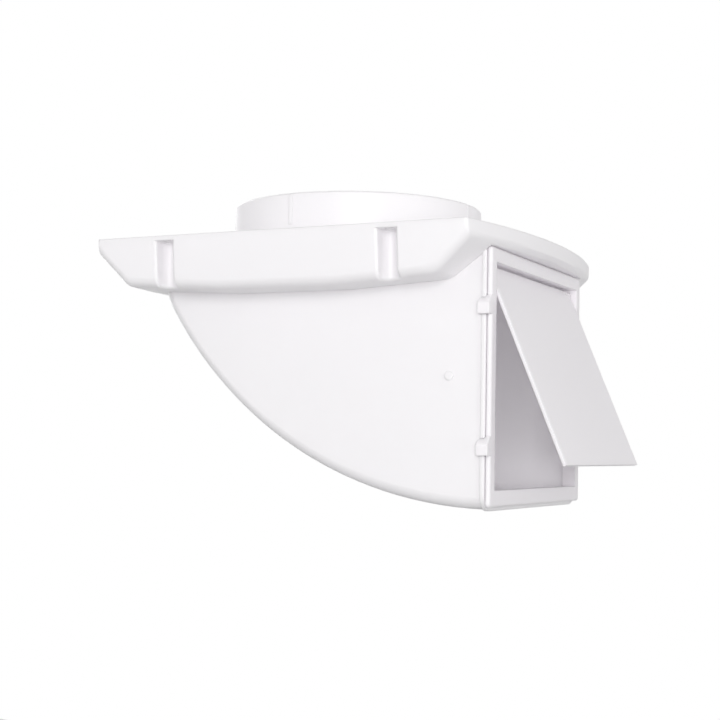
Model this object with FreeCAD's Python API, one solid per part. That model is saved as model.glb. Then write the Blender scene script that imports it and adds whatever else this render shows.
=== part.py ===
import FreeCAD, Part
import math
import os

# Under-eave dryer vent cap in white moulded plastic, in millimetres.
# A one-piece hood carries the round duct collar, a tray flange that is screwed up to the soffit, and
# a scoop that turns the air forwards. A frame snaps over the mouth of the scoop, and a flap hangs in it.
# Z is up and +X is the way the air leaves. The origin is on the collar's axis, in the soffit's plane.

V = FreeCAD.Vector

# Collar that the duct slides over
collar_diameter = 100.0
collar_rise = 17.0
collar_rim_bevel = 0.6
rib_count = 4
rib_turn = -4.5
rib_width = 1.6
rib_height = 0.2

# Wall of the one-piece hood
wall = 2.0

# Tray flange: straight leaning sides, and bowed ends with an upright lip and a slope below it.
# The ends are bowed less at the floor than at the lip. The floor is level in the middle and rises
# to both ends. The collar stands in front of the flange's middle by flange_shift.
flange_width = 140.0
flange_length = 154.0
flange_shift = 1.0
flange_bow = 9.0
front_floor_bow = 1.0
back_floor_bow = 8.0
flange_depth = 20.9
floor_rise = 3.2
floor_level = 48.0
lip_height = 5.5
side_lean = 5.5
end_lean = 46.0
side_round = 4.0
front_round = 10.0
back_round = 5.0
lip_foot_round = 5.0
lip_foot_steps = 3
lip_corner_round = 1.5

# Screw pockets in the two straight sides, each with a pierced tab at the soffit
pocket_spacing = 93.0
pocket_width = 7.4
pocket_mouth_bevel = 0.7
screw_inset = 4.6
screw_hole_diameter = 4.3
tab_thickness = 1.8

# Scoop: its curve runs out level at the mouth, and ends upright at the back.
# The curve's radius is a share of the scoop's length.
mouth_gap = 0.2
scoop_width = 102.0
scoop_drop = 99.8
scoop_back = 60.0
scoop_fullness = 1.153
scoop_back_round = 15.0
scoop_edge_round = 5.5
ceiling_drop = 7.0
bead_width = 1.6
bead_height = 0.6
bead_bevel = 0.4
gate_mark_diameter = 3.2
gate_mark_height = 0.15
gate_mark_behind_front = 13.9
gate_mark_drop = 52.9

# Front frame that snaps over the scoop's mouth
frame_thickness = 2.0
frame_top_gap = 0.2
frame_bottom = 99.0
frame_corner_round = 1.5
frame_edge_round = 1.1
seam_width = 0.4
seam_depth = 1.0
stile_width = 4.7
top_bar_height = 5.2
sill_height = 5.9
sleeve_depth = 3.6
sleeve_wall = 2.4
recess_clearance = 0.7

# Snap ears on the frame, which hook behind the bead of the scoop
ear_drops = (31.3, 80.9)
ear_height = 6.8
ear_ramp = 3.0
ear_proud = 2.8
ear_hook = 0.7
ear_round = 2.5
ear_clearance = 0.1

# Flap, with a pin at each end of its upper edge
flap_open_angle = 22.7
flap_thickness = 1.3
flap_side_gap = 0.6
flap_length = 75.1
flap_head = 1.0
pivot_depth = 3.6
pivot_drop = 14.6
pin_diameter = 2.0
pin_clearance = 0.05
pin_reach = 1.8
pin_end_clearance = 0.3
pin_root = 6.0

# Lugs on the stiles that stop the flap where it hangs upright
lug_drop = 74.0
lug_height = 5.0
lug_proud = 1.6
lug_clearance = 0.2

# Length by which cutting shapes run past the faces that they open
overshoot = 5.0

# Distance within which an edge counts as lying in a plane
touch = 0.1

# Sizes worked out from the ones above
collar_radius = collar_diameter / 2
flange_middle = -flange_shift
flange_half_length = flange_length / 2
flange_front = flange_half_length - flange_shift
flange_back = flange_half_length + flange_shift
hood_front = flange_front + mouth_gap
scoop_radius = scoop_fullness * (hood_front + scoop_back)
scoop_half = scoop_width / 2
frame_half = scoop_half
frame_front = hood_front + frame_thickness
frame_top = ceiling_drop + frame_top_gap
edge_round = min(frame_edge_round, 0.8 * (frame_thickness - seam_width))
opening_half = frame_half - stile_width
opening_top = frame_top + top_bar_height
opening_bottom = frame_bottom - sill_height
pivot_x = frame_front - pivot_depth
flap_half = opening_half - flap_side_gap

# Bevels inside the rounded corners, as shares of the rounds, which keep the wall nearly even there
side_share = 1 / 4
end_share = 1 / 5

# Two passes of bevels that follow a round, as shares of its radius
first_cut = 1 - math.tan(math.pi / 8)
second_cut = math.tan(math.pi / 8) - math.tan(math.pi / 16)


def box(x, y, z):
    """A block between the two ends given for each axis."""
    return Part.makeBox(x[1] - x[0], y[1] - y[0], z[1] - z[0], V(x[0], y[0], z[0]))


def closed_face(points):
    """A flat face inside straight edges through the points."""
    return Part.Face(Part.makePolygon(points + points[:1]))


def edges_where(shape, test):
    """The edges whose bounding boxes pass the test."""
    return [edge for edge in shape.Edges if test(edge.BoundBox)]


def mirrored(shape):
    """The shape's twin on the other side of the vent."""
    return shape.mirror(V(0, 0, 0), V(0, 1, 0))


def side_reach(inset, z):
    """How far out the leaning side of the tray is at the height z, moved inwards by inset."""
    lean = math.radians(side_lean)
    return flange_width / 2 - inset / math.cos(lean) + z * math.tan(lean)


def floor_cutter(inset):
    """What lies below the tray's floor."""
    level = inset - flange_depth
    under = level - 2 * flange_depth
    side = -flange_width
    outline = []
    for way in (-1, 1):
        end = V(flange_middle + way * flange_half_length, side, level + floor_rise)
        bend = V(flange_middle + way * floor_level / 2, side, level)
        low = V(end.x, side, under)
        outline += [low, end, bend] if way < 0 else [bend, end, low]
    return closed_face(outline).extrude(V(0, 2 * flange_width, 0))


def bowed_outline(way, reach, bow, z):
    """A level outline, wider than the flange, with one end bowed outwards past reach by bow."""
    half = 0.6 * flange_width
    far = -1.5 * flange_half_length
    corner = reach + bow * (1 - (2 * half / flange_width) ** 2)
    corners = [V(way * x, y, z) for x, y in ((corner, -half), (far, -half), (far, half), (corner, half))]
    edges = [Part.LineSegment(start, end).toShape() for start, end in zip(corners, corners[1:])]
    edges.append(Part.Arc(corners[3], V(way * (reach + bow), 0, z), corners[0]).toShape())
    return Part.Wire(edges)


def bowed_end(way, reach, floor_bow, inset, top):
    """The room inside one end of the tray: its lip, and the ruled face from there to the floor's edge.

    Outside, the lip turns into that face over a few narrow facets that follow a round."""
    lean = math.radians(end_lean)
    lip = inset * math.tan(lean / 2) - lip_height
    floor = inset - flange_depth + floor_rise
    steps = 1 if inset else lip_foot_steps
    turn = lean / steps
    corner_radius = lip_foot_round / math.cos(turn / 2)
    round_top = lip + lip_foot_round * math.tan(lean / 2)

    def outline_at(distance, z):
        bow = flange_bow + (floor_bow - flange_bow) * max(0, lip - z) / (lip - floor)
        return bowed_outline(way, distance, bow, z)

    outlines = []
    for step in range(steps):
        angle = (step + 0.5) * turn
        distance = reach - inset - lip_foot_round + corner_radius * math.cos(angle)
        outlines.append(outline_at(distance, round_top - corner_radius * math.sin(angle)))
    low = inset - flange_depth - lip_height
    outlines.append(outline_at(reach - inset - (lip - low) * math.tan(lean), low))
    leaning = Part.makeLoft(outlines, True, True)
    upright = Part.Face(outlines[0]).extrude(V(0, 0, top - outlines[0].BoundBox.ZMin))
    return upright.fuse(leaning)


def tray(inset, top):
    """The tray flange as a solid, moved inwards by inset. Its lower edges are rounded, or bevelled inside."""
    low = inset - flange_depth - lip_height
    half = flange_width / 2
    start = -2 * flange_back
    corners = ((1, top), (1, low), (-1, low), (-1, top))
    section = [V(start, way * side_reach(inset, z), z) for way, z in corners]
    body = closed_face(section).extrude(V(2 * flange_length, 0, 0))
    for way, reach, floor_bow in ((1, flange_front, front_floor_bow), (-1, flange_back, back_floor_bow)):
        body = body.common(bowed_end(way, reach, floor_bow, inset, top))
    body = body.cut(floor_cutter(inset))
    under_lip = -lip_height - lip_foot_round
    for way, end_round in ((1, front_round), (-1, back_round)):
        end = edges_where(body, lambda b: b.YLength > half and b.XLength > touch and b.ZMax < under_lip
                          and way * b.Center.x > 0)
        body = body.makeChamfer(end_share * end_round, end) if inset else body.makeFillet(end_round, end)
    along = edges_where(body, lambda b: b.YLength < half / 2 and b.ZMin < under_lip)
    return body.makeChamfer(side_share * side_round, along) if inset else body.makeFillet(side_round, along)


def scoop(inset, top, front):
    """The scoop as a solid, moved inwards by inset, from its mouth at front up to top."""
    centre = V(hood_front, 0, scoop_radius - scoop_drop)
    back = inset - scoop_back
    small_x = scoop_back_round - scoop_back
    between = scoop_radius - scoop_back_round
    small_z = centre.z - math.sqrt(between ** 2 - (centre.x - small_x) ** 2)
    small = V(small_x, 0, small_z)
    lean = math.atan2(small.z - centre.z, small.x - centre.x)
    main_radius = scoop_radius - inset
    small_radius = scoop_back_round - inset

    def on_arc(middle, radius, angle):
        return V(middle.x + radius * math.cos(angle), 0, middle.z + radius * math.sin(angle))

    bottom = -math.pi / 2
    upright = -math.pi
    meet = on_arc(small, small_radius, lean)
    upright_foot = V(back, 0, small.z)
    lip = V(centre.x, 0, centre.z - main_radius)
    main_arc = Part.Arc(lip, on_arc(centre, main_radius, (bottom + lean) / 2), meet)
    small_arc = Part.Arc(meet, on_arc(small, small_radius, (lean + upright) / 2), upright_foot)
    edges = [main_arc.toShape(), small_arc.toShape()]
    corners = [upright_foot, V(back, 0, top), V(front, 0, top), V(front, 0, lip.z)]
    if front > hood_front:
        corners.append(lip)
    for start, end in zip(corners, corners[1:]):
        edges.append(Part.LineSegment(start, end).toShape())
    half = scoop_half - inset
    body = Part.Face(Part.Wire(Part.__sortEdges__(edges))).extrude(V(0, 2 * half, 0))
    body.translate(V(0, -half, 0))
    edge_radius = scoop_edge_round / 2 if inset else scoop_edge_round
    rise = upright_foot.z - touch
    for cut in (first_cut, second_cut):
        low = edges_where(body, lambda b: b.YLength < touch and b.XMin < front - touch and b.ZMin < rise)
        body = body.makeChamfer(cut * edge_radius, low)
    return body


def groove(x, width, z):
    """An upright U-shaped slot from outside the near side of the flange in to its screw's place."""
    radius = width / 2
    middle = V(x, screw_inset - flange_width / 2, z[0])
    round_end = Part.makeCylinder(radius, z[1] - z[0], middle)
    outside = middle.y - screw_inset - overshoot
    return round_end.fuse(box((x - radius, x + radius), (outside, middle.y), z))


def at_screws(shape_at):
    """The shape that shape_at gives for a screw's X, at all four screws."""
    near = [shape_at(flange_middle + way * pocket_spacing / 2) for way in (-1, 1)]
    return near + [mirrored(shape) for shape in near]


def collar():
    """The duct collar, from the ceiling of the scoop up, with its four fine mould ribs."""
    foot = -ceiling_drop
    tube = Part.makeCylinder(collar_radius, collar_rise - foot, V(0, 0, foot))
    rim = edges_where(tube, lambda b: b.ZMin > collar_rise - touch)
    tube = tube.makeChamfer(collar_rim_bevel, rim)
    rib_top = collar_rise - collar_rim_bevel
    for number in range(rib_count):
        rib = box((collar_radius - wall / 2, collar_radius + rib_height),
                  (-rib_width / 2, rib_width / 2), (0, rib_top))
        rib.rotate(V(0, 0, 0), V(0, 0, 1), rib_turn + number * 360 / rib_count)
        tube = tube.fuse(rib)
    return tube


def bead():
    """The thickened edge round the mouth of the scoop, still filled in."""
    half = scoop_half + bead_height
    low = -scoop_drop - bead_height
    ring = box((hood_front - bead_width, hood_front), (-half, half), (low, -ceiling_drop))
    corners = edges_where(ring, lambda b: b.XLength > touch and b.ZMax < low + touch)
    ring = ring.makeFillet(scoop_edge_round + bead_height, corners)
    front = edges_where(ring, lambda b: b.XMin > hood_front - touch and b.ZMin < -ceiling_drop - touch)
    return ring.makeChamfer(bead_bevel, front)


def trough():
    """The hollow of the tray above its floor, round the scoop, the collar and the screw pockets."""
    plate_top = wall - ceiling_drop
    below = -2 * flange_depth
    recess_half = scoop_half + recess_clearance
    room = tray(wall, overshoot)
    room = room.cut(box((-scoop_back, hood_front), (-scoop_half, scoop_half), (below, plate_top)))
    shelf_side = recess_half + wall
    shelf_front = flange_front + 2 * flange_bow
    room = room.cut(box((hood_front - wall, shelf_front), (-shelf_side, shelf_side), (below, plate_top)))
    room = room.cut(Part.makeCylinder(collar_radius, 4 * flange_depth, V(0, 0, below)))
    for column in at_screws(lambda x: groove(x, pocket_width + 2 * wall, (below, 0))):
        room = room.cut(column)
    return room


def gate_mark():
    """The round mark that the mould's gate leaves on the near side of the scoop."""
    middle = V(hood_front - gate_mark_behind_front, wall / 2 - scoop_half, -gate_mark_drop)
    return Part.makeCylinder(gate_mark_diameter / 2, wall / 2 + gate_mark_height, middle, V(0, -1, 0))


def pocket_mouths(body):
    """The upright edges of the four screw pockets where they open in the sides of the flange."""
    inner = flange_width / 2 - screw_inset + touch

    def beside_a_pocket(b):
        return abs(abs(b.Center.x - flange_middle) - pocket_spacing / 2) < pocket_width / 2 + touch

    def in_the_side(b):
        below_tab = b.ZMax < touch - tab_thickness
        return below_tab and abs(b.Center.y) > inner and b.XLength < touch and b.ZLength > touch

    return edges_where(body, lambda b: beside_a_pocket(b) and in_the_side(b))


def hood():
    """The one-piece moulding: collar, tray flange and scoop."""
    flange = tray(0, 0)
    upright = edges_where(flange, lambda b: b.ZMin < -touch and b.ZMax > -touch
                          and max(b.XLength, b.YLength) < lip_height)
    body = flange.makeFillet(lip_corner_round, upright)
    for addition in (scoop(0, -ceiling_drop, hood_front), bead(), collar(), gate_mark()):
        body = body.fuse(addition)
    recess_half = scoop_half + recess_clearance
    recess = box((hood_front, flange_front + 2 * flange_bow), (-recess_half, recess_half),
                 (-2 * flange_depth, -ceiling_drop))
    duct_height = ceiling_drop + collar_rise + 2 * overshoot
    duct = Part.makeCylinder(collar_radius - wall, duct_height, V(0, 0, -ceiling_drop - overshoot))
    chamber = scoop(wall, -ceiling_drop, hood_front + overshoot)
    for hollow in (chamber, recess, trough(), duct):
        body = body.cut(hollow)
    pocket_range = (-2 * flange_depth, -tab_thickness)
    for pocket in at_screws(lambda x: groove(x, pocket_width, pocket_range)):
        body = body.cut(pocket)
    screw_y = screw_inset - flange_width / 2
    screw_radius = screw_hole_diameter / 2
    foot = -overshoot
    for hole in at_screws(lambda x: Part.makeCylinder(screw_radius, 2 * overshoot, V(x, screw_y, foot))):
        body = body.cut(hole)
    body = body.removeSplitter()
    return body.makeChamfer(pocket_mouth_bevel, pocket_mouths(body))


def snap_ear(drop):
    """One ear on the near side: a ramped fin, level with the frame's front, that hooks behind the bead."""
    foot = -drop
    top = foot + ear_height
    bead_back = hood_front - bead_width - ear_clearance
    back = bead_back - ear_hook
    near = -frame_half
    inner = near + edge_round
    outer = near - ear_proud
    ramp = closed_face([V(back, inner, foot), V(back, outer, foot), V(back, outer, top - ear_ramp),
                        V(back, near, top), V(back, inner, top)]).extrude(V(frame_front - back, 0, 0))
    fin = box((back, frame_front), (outer, inner), (foot, top))
    rear_top = edges_where(fin, lambda b: b.XMax < back + touch and b.ZMin > top - touch)
    ear = ramp.common(fin.makeFillet(ear_round, rear_top))
    scoop_side = -scoop_half - ear_clearance
    height = (foot - overshoot, top + overshoot)
    ear = ear.cut(box((back - overshoot, hood_front + seam_width), (scoop_side, 0), height))
    return ear.cut(box((bead_back, hood_front), (scoop_side - bead_height, 0), height))


def stop_lug():
    """The lug on the near stile that the hanging flap comes to rest on."""
    back = hood_front - sleeve_depth
    face = pivot_x - flap_thickness / 2 - lug_clearance
    return box((back, face), (-opening_half, lug_proud - opening_half), (-lug_drop - lug_height, -lug_drop))


def pin_socket():
    """The blind hole in the near stile for one pin of the flap."""
    depth = pin_reach + pin_end_clearance
    start = V(pivot_x, -opening_half, -pivot_drop)
    return Part.makeCylinder(pin_diameter / 2 + pin_clearance, depth, start, V(0, -1, 0))


def front_frame():
    """The clip-on frame: a rim with a seam behind its edge, a sleeve that enters the scoop, ears and lugs."""
    plate_back = hood_front + seam_width
    rim = box((plate_back, frame_front), (-frame_half, frame_half), (-frame_bottom, -frame_top))
    corners = edges_where(rim, lambda b: b.XLength > touch)
    rim = rim.makeFillet(frame_corner_round, corners)
    front = edges_where(rim, lambda b: b.XMin > frame_front - touch)
    rim = rim.makeFillet(edge_round, front)
    seat_half = frame_half - seam_depth
    seat = box((hood_front, plate_back), (-seat_half, seat_half),
               (seam_depth - frame_bottom, -frame_top - seam_depth))
    sleeve_half = opening_half + sleeve_wall
    sleeve = box((hood_front - sleeve_depth, hood_front), (-sleeve_half, sleeve_half),
                 (-opening_bottom - sleeve_wall, sleeve_wall - opening_top))
    opening = box((hood_front - sleeve_depth - overshoot, frame_front + overshoot),
                  (-opening_half, opening_half), (-opening_bottom, -opening_top))
    body = rim.fuse(seat).fuse(sleeve).cut(opening)
    near_pieces = [snap_ear(drop) for drop in ear_drops] + [stop_lug()]
    for piece in near_pieces:
        body = body.fuse(piece).fuse(mirrored(piece))
    socket = pin_socket()
    return body.cut(socket).cut(mirrored(socket)).removeSplitter()


def flap():
    """The hanging flap, swung out to the angle at which it is seen."""
    half_thick = flap_thickness / 2
    panel = box((pivot_x - half_thick, pivot_x + half_thick), (-flap_half, flap_half),
                (-pivot_drop - flap_length, flap_head - pivot_drop))
    pin_end = opening_half + pin_reach
    root = flap_half - pin_root
    for way in (-1, 1):
        pin_start = V(pivot_x, way * root, -pivot_drop)
        panel = panel.fuse(Part.makeCylinder(pin_diameter / 2, pin_end - root, pin_start, V(0, way, 0)))
    panel = panel.removeSplitter()
    panel.rotate(V(pivot_x, 0, -pivot_drop), V(0, -1, 0), flap_open_angle)
    return panel


os.makedirs("parts", exist_ok=True)
for name, solid in (("hood", hood()), ("front_frame", front_frame()), ("flap", flap())):
    solid.exportStep("parts/" + name + ".step")
    print(name, len(solid.Solids), "solid", round(solid.Volume / 1000, 2), "cm3", solid.isValid())
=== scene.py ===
import math

import bpy
from mathutils import Matrix, Vector


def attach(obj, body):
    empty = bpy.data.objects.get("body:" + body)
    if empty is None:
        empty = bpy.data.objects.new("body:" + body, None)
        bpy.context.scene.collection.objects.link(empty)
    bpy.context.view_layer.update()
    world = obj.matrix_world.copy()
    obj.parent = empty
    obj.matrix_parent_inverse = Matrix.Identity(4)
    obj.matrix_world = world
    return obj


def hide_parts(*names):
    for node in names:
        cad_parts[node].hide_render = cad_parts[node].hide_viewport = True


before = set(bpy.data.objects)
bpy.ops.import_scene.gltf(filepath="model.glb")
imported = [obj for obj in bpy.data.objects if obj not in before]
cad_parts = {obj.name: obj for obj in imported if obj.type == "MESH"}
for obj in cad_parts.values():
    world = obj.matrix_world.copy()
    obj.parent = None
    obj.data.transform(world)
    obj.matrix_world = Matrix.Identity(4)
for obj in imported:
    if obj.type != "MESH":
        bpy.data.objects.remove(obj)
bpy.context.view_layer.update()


# Hood
# One injection moulding in white plastic: the duct collar, the tray flange and the scoop.
# The mould leaves a fine satin grain, a little cloudiness in the white, and soft edges. The narrow
# bevels that follow its rounds are shaded as the rounds they stand for.

class Socket:
    """A value in a node tree. Sums and products of it add Math nodes."""

    def __init__(self, tree, output):
        self.tree = tree
        self.output = output

    def combine(self, operation, first, second):
        """Adds a Math node for the two values, which are sockets or numbers."""
        maths = self.tree.nodes.new("ShaderNodeMath")
        maths.operation = operation
        for entry, value in zip(maths.inputs, (first, second)):
            if isinstance(value, Socket):
                self.tree.links.new(value.output, entry)
            else:
                entry.default_value = value
        return Socket(self.tree, maths.outputs[0])

    def __add__(self, other):
        return self.combine("ADD", self, other)

    def __radd__(self, other):
        return self.combine("ADD", other, self)

    def __mul__(self, other):
        return self.combine("MULTIPLY", self, other)

    def __rmul__(self, other):
        return self.combine("MULTIPLY", other, self)


class Nodes:
    """The node tree of a material or of the world."""

    def __init__(self, tree):
        self.tree = tree

    def add(self, kind, settings, values, output=0):
        """Adds a node of that kind, sets it up, feeds its sockets, and returns one of its outputs."""
        node = self.tree.nodes.new("ShaderNode" + kind)
        for name, value in settings.items():
            setattr(node, name, value)
        self.feed(node, values)
        return Socket(self.tree, node.outputs[output])

    def feed(self, node, values):
        """Gives a node's sockets their values or links."""
        for name, value in values.items():
            if isinstance(value, Socket):
                self.tree.links.new(value.output, node.inputs[name])
            else:
                node.inputs[name].default_value = value

    def blend(self, share, first, second):
        """The first colour at a share of nought, and the second at one."""
        share_entry, first_entry, second_entry, colour_exit = 0, 6, 7, 2
        colours = {share_entry: share, first_entry: (*first, 1), second_entry: (*second, 1)}
        return self.add("Mix", {"data_type": "RGBA"}, colours, colour_exit)


def moulded_plastic(name, pale, deep, grain_size, grain_depth, edge_softness):
    """White moulded plastic: clouds between two whites, uneven satin, a fine grain and soft edges."""
    cloud_size = 0.035
    cloud_share = 0.75
    speck_size = 0.0016
    grain_strength = 0.35
    edge_samples = 6
    satin_level = 0.36
    satin_clouds = 0.1
    satin_grain = 0.06
    light_share = 0.5
    light_depth = 0.003
    light_spread = (1, 1, 1)
    material = bpy.data.materials.new(name)
    material.use_nodes = True
    nodes = Nodes(material.node_tree)
    place = nodes.add("TexCoord", {}, {}, "Object")
    clouds, specks, grain = [
        nodes.add("TexNoise", {}, {"Vector": place, "Scale": 1 / size, "Detail": detail})
        for size, detail in ((cloud_size, 3.0), (speck_size, 2.0), (grain_size, 1.0))]
    white = nodes.blend(cloud_share * clouds + (1 - cloud_share) * specks, deep, pale)
    soft_edge = nodes.add("Bevel", {"samples": edge_samples}, {"Radius": edge_softness})
    surface = nodes.add("Bump", {}, {"Strength": grain_strength, "Distance": grain_depth, "Height": grain,
                                     "Normal": soft_edge})
    satin = satin_level + satin_clouds * clouds + satin_grain * grain
    shader = material.node_tree.nodes["Principled BSDF"]
    nodes.feed(shader, {"Base Color": white, "Roughness": satin, "Normal": surface})
    nodes.feed(shader, {"Subsurface Weight": light_share, "Subsurface Radius": light_spread,
                        "Subsurface Scale": light_depth})
    return material


def smooth_copy(node, name, body, crease):
    """A merged copy of a CAD node, smooth across edges that turn less than the crease, in its stead."""
    weld_distance = 1e-6
    bpy.ops.object.select_all(action="DESELECT")
    piece = bpy.data.objects.new(name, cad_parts[node].data.copy())
    bpy.context.scene.collection.objects.link(piece)
    piece.select_set(True)
    bpy.context.view_layer.objects.active = piece
    bpy.ops.mesh.customdata_custom_splitnormals_clear()
    bpy.ops.object.mode_set(mode="EDIT")
    bpy.ops.mesh.select_all(action="SELECT")
    bpy.ops.mesh.remove_doubles(threshold=weld_distance)
    bpy.ops.object.mode_set(mode="OBJECT")
    bpy.ops.object.shade_smooth_by_angle(angle=crease)
    weighted = piece.modifiers.new("even_shading", "WEIGHTED_NORMAL")
    weighted.keep_sharp = True
    bpy.ops.object.modifier_apply(modifier=weighted.name)
    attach(piece, body)
    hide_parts(node)
    return piece


hood_moulding = smooth_copy("hood", "hood_moulding", "housing", crease=math.radians(30))

# The face of the gate mark on the near side stands a little further out, as its shadow shows.
gate_middle = Vector((0.0623, -0.05115, -0.0529))
gate_reach = 0.002
gate_rise = 0.00035
face_tolerance = 0.00001
bpy.ops.object.mode_set(mode="EDIT")
bpy.ops.mesh.select_all(action="DESELECT")
bpy.ops.object.mode_set(mode="OBJECT")
for vertex in hood_moulding.data.vertices:
    offset = vertex.co - gate_middle
    vertex.select = offset.length < gate_reach and abs(offset.y) < face_tolerance
bpy.ops.object.mode_set(mode="EDIT")
bpy.ops.transform.translate(value=(0, -gate_rise, 0))
bpy.ops.object.mode_set(mode="OBJECT")

hood_moulding.data.materials.clear()
hood_moulding.data.materials.append(moulded_plastic(
    "white_hood_plastic", pale=(0.905, 0.889, 0.908), deep=(0.885, 0.869, 0.888),
    grain_size=0.00035, grain_depth=0.000012, edge_softness=0.0005))


# Front frame
# A separate white moulding that clips over the mouth of the scoop. Its four ears hook behind the
# bead of the scoop, and its face is a little smoother than the hood.

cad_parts["front_frame"].material_slots[0].material = moulded_plastic(
    "white_frame_plastic", pale=(0.91, 0.883, 0.912), deep=(0.89, 0.863, 0.892),
    grain_size=0.0003, grain_depth=0.000008, edge_softness=0.0004)


# Flap
# A thin white panel that hangs from two moulded pins in the frame. Its broad face shows the grain
# of the mould most.

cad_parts["flap"].material_slots[0].material = moulded_plastic(
    "white_flap_plastic", pale=(0.91, 0.88, 0.913), deep=(0.885, 0.855, 0.888),
    grain_size=0.0005, grain_depth=0.000014, edge_softness=0.0003)


# Studio
# The cap hangs in soft light from large lamps, well above a pale floor, in front of plain white.
# The floor is pale to the eye but sends little light back up, so the underside keeps its shade.

def seen(nodes):
    """One for what the camera sees, also in a gloss or through glass, and nought for other light."""
    kinds = ("Is Camera Ray", "Is Glossy Ray", "Is Transmission Ray")
    camera_ray, glossy_ray, transmission_ray = [nodes.add("LightPath", {}, {}, kind) for kind in kinds]
    return camera_ray + glossy_ray + transmission_ray


floor_drop = 0.7
floor_size = 4.0
floor_roughness = 0.7
floor_unseen = (0.45, 0.45, 0.45)
floor_seen = (0.92, 0.92, 0.92)
bpy.ops.object.select_all(action="DESELECT")
bpy.ops.mesh.primitive_plane_add(size=floor_size, location=(0, 0, -floor_drop))
floor = bpy.context.object
floor.name = "floor"
floor_paint = bpy.data.materials.new("pale_floor")
floor_paint.use_nodes = True
floor_nodes = Nodes(floor_paint.node_tree)
floor_colour = floor_nodes.blend(seen(floor_nodes), floor_unseen, floor_seen)
floor_nodes.feed(floor_paint.node_tree.nodes["Principled BSDF"],
                 {"Base Color": floor_colour, "Roughness": floor_roughness})
floor.data.materials.append(floor_paint)

aim = Vector((0.01, 0, -0.04))


def lamp(name, way, distance, size, power):
    """A square soft lamp that shines on the cap from that way."""
    light = bpy.data.lights.new(name, "AREA")
    light.size = size
    light.energy = power
    holder = bpy.data.objects.new(name, light)
    bpy.context.scene.collection.objects.link(holder)
    towards = Vector(way).normalized()
    turned = towards.to_track_quat("Z", "Y").to_matrix().to_4x4()
    holder.matrix_world = Matrix.Translation(aim + distance * towards) @ turned


lamp("camera_side_lamp", way=(0.45, -0.9, 0.07), distance=1.0, size=0.4, power=4.6)
lamp("left_lamp", way=(-0.7, -0.8, 0.15), distance=1.4, size=1.0, power=2.6)
lamp("front_lamp", way=(1.0, -0.3, -0.08), distance=1.2, size=0.6, power=2.0)
lamp("back_lamp", way=(-0.6, 0.8, 0.35), distance=1.5, size=1.2, power=8.0)

world = bpy.data.worlds.new("studio")
bpy.context.scene.world = world
world.use_nodes = True
room_strength = 0.5
backdrop_strength = 1.0
white_light = (1, 1, 1, 1)
studio = Nodes(world.node_tree)
room = world.node_tree.nodes["Background"]
studio.feed(room, {"Color": white_light, "Strength": room_strength})
backdrop = studio.add("Background", {}, {"Color": white_light, "Strength": backdrop_strength})
unseen_entry, seen_entry = 1, 2
surround = studio.add("MixShader", {}, {"Fac": seen(studio), seen_entry: backdrop,
                                        unseen_entry: Socket(world.node_tree, room.outputs[0])})
studio.feed(world.node_tree.nodes["World Output"], {"Surface": surround})


# Camera
# It stands to the right of the near side, a little below the flange, and looks slightly up.

turn = math.radians(26.3126)
tilt = math.radians(3.6054)
roll = math.radians(1.0318)
eye = Vector((0.25363, -0.50915, -0.07912))
level_right = Vector((math.cos(turn), math.sin(turn), 0))
level_ahead = Vector((-math.sin(turn), math.cos(turn), 0))
ahead = level_ahead * math.cos(tilt) + Vector((0, 0, math.sin(tilt)))
level_up = Vector((0, 0, math.cos(tilt))) - level_ahead * math.sin(tilt)
right = level_right * math.cos(roll) + level_up * math.sin(roll)
upward = level_up * math.cos(roll) - level_right * math.sin(roll)
camera_data = bpy.data.cameras.new("camera")
camera_data.sensor_width = 36
camera_data.lens = 70.09
camera_data.clip_start = 0.01
camera = bpy.data.objects.new("camera", camera_data)
bpy.context.scene.collection.objects.link(camera)
camera.matrix_world = Matrix.Translation(eye) @ Matrix((right, upward, -ahead)).transposed().to_4x4()
bpy.context.scene.camera = camera
bpy.context.scene.view_settings.view_transform = "Standard"
# Light reaches the depth of the white mouth only after many bounces.
bpy.context.scene.cycles.diffuse_bounces = 8
